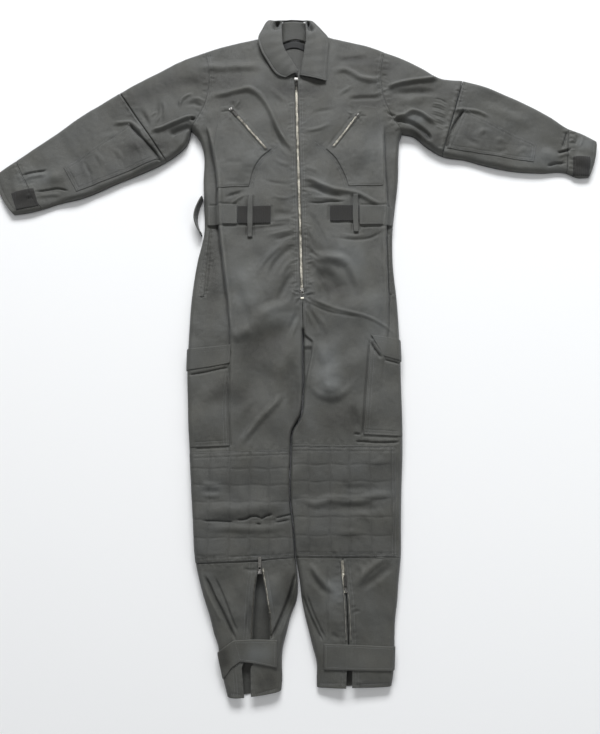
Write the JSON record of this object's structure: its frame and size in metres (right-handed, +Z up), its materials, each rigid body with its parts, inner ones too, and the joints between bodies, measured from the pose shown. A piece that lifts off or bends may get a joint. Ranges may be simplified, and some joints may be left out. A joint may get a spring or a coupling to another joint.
{
  "type": "flight suit",
  "caption": "One-piece zipped coverall laid flat on its back, with shirt collar, slanted zip chest pockets, waist tabs, cargo pockets, quilted knees and elbows, and strapped ankles.",
  "frame": {"origin": "on the surface under the middle of the suit's box as it lies on its back", "axes": "+X to the wearer's left, +Y from the hems to the collar, +Z up from the surface"},
  "size_m": [1.501, 1.6415, 0.038],
  "materials": {
    "flight_cloth": "charcoal grey twill with a soft sheen",
    "quilted_patch": "charcoal grey twill, quilted in squares",
    "pile_tape": "dark grey hook-and-loop pile",
    "label": "plain dark woven label",
    "zip_tape": "dark grey zip tape",
    "zip_teeth": "pale metal teeth",
    "zip_hardware": "bright metal slider and pull"
  },
  "bodies": {
    "suit": {"ankle_strap_l": "flight_cloth", "ankle_strap_r": "flight_cloth", "back_leg_l": "flight_cloth", "back_leg_r": "flight_cloth", "back_torso": "flight_cloth", "belt_loop_l": "flight_cloth", "belt_loop_r": "flight_cloth", "belt_pile_l": "pile_tape", "belt_pile_r": "pile_tape", "belt_side_loop": "flight_cloth", "belt_tab_l": "flight_cloth", "belt_tab_r": "flight_cloth", "cargo_flap_l": "flight_cloth", "cargo_flap_r": "flight_cloth", "cargo_pocket_l": "flight_cloth", "cargo_pocket_r": "flight_cloth", "chest_l_slider": "zip_hardware", "chest_pocket_l": "flight_cloth", "chest_pocket_r": "flight_cloth", "chest_r_slider": "zip_hardware", "chest_zip_l": "zip_teeth", "chest_zip_r": "zip_teeth", "collar_leaf": "flight_cloth", "collar_stand": "flight_cloth", "cuff_l": "flight_cloth", "cuff_r": "flight_cloth", "cuff_tab_l": "pile_tape", "cuff_tab_r": "pile_tape", "elbow_patch_l": "quilted_patch", "elbow_patch_r": "quilted_patch", "front_l": "flight_cloth", "front_r": "flight_cloth", "hip_welt_l": "flight_cloth", "hip_welt_r": "flight_cloth", "knee_patch_l": "quilted_patch", "knee_patch_r": "quilted_patch", "leg_l_slider": "zip_hardware", "leg_r_slider": "zip_hardware", "leg_zip_inner_r": "zip_teeth", "leg_zip_l": "zip_teeth", "leg_zip_outer_r": "zip_teeth", "neck_label": "label", "shin_inner_l": "flight_cloth", "shin_inner_r": "flight_cloth", "shin_outer_l": "flight_cloth", "shin_outer_r": "flight_cloth", "sleeve_lower_l": "flight_cloth", "sleeve_lower_r": "flight_cloth", "sleeve_upper_l": "flight_cloth", "sleeve_upper_r": "flight_cloth", "zip_bottom_slider": "zip_hardware", "zip_tape": "zip_tape", "zip_teeth": "zip_teeth", "zip_top_slider": "zip_hardware"},
    "zip_top_pull_tab": {"zip_top_pull": "zip_hardware"},
    "zip_bottom_pull_tab": {"zip_bottom_pull": "zip_hardware"},
    "chest_r_pull_tab": {"chest_r_pull": "zip_hardware"},
    "chest_l_pull_tab": {"chest_l_pull": "zip_hardware"},
    "leg_r_pull_tab": {"leg_r_pull": "zip_hardware"},
    "leg_l_pull_tab": {"leg_l_pull": "zip_hardware"}
  },
  "joints": [
    {"name": "zip_top_pull_swing", "type": "hinge", "parent": "suit", "child": "zip_top_pull_tab", "pos_m": [-0.0022, 0.6336, 0.03153], "axis": [-1, 0, 0], "range_deg": [0, 150]},
    {"name": "zip_bottom_pull_swing", "type": "hinge", "parent": "suit", "child": "zip_bottom_pull_tab", "pos_m": [0.0124, 0.0668, 0.03277], "axis": [1, 0, 0], "range_deg": [0, 150]},
    {"name": "chest_r_pull_swing", "type": "hinge", "parent": "suit", "child": "chest_r_pull_tab", "pos_m": [-0.16348, 0.54997, 0.0324], "axis": [-0.769, -0.6393, 0], "range_deg": [0, 150]},
    {"name": "chest_l_pull_swing", "type": "hinge", "parent": "suit", "child": "chest_l_pull_tab", "pos_m": [0.15055, 0.53391, 0.0324], "axis": [-0.8047, 0.5937, 0], "range_deg": [0, 150]},
    {"name": "leg_r_pull_swing", "type": "hinge", "parent": "suit", "child": "leg_r_pull_tab", "pos_m": [-0.0805, -0.5612, 0.02448], "axis": [1, 0, 0], "range_deg": [0, 150]},
    {"name": "leg_l_pull_swing", "type": "hinge", "parent": "suit", "child": "leg_l_pull_tab", "pos_m": [0.10645, -0.5992, 0.0262], "axis": [0.9996, 0.03, 0], "range_deg": [0, 150]}
  ]
}
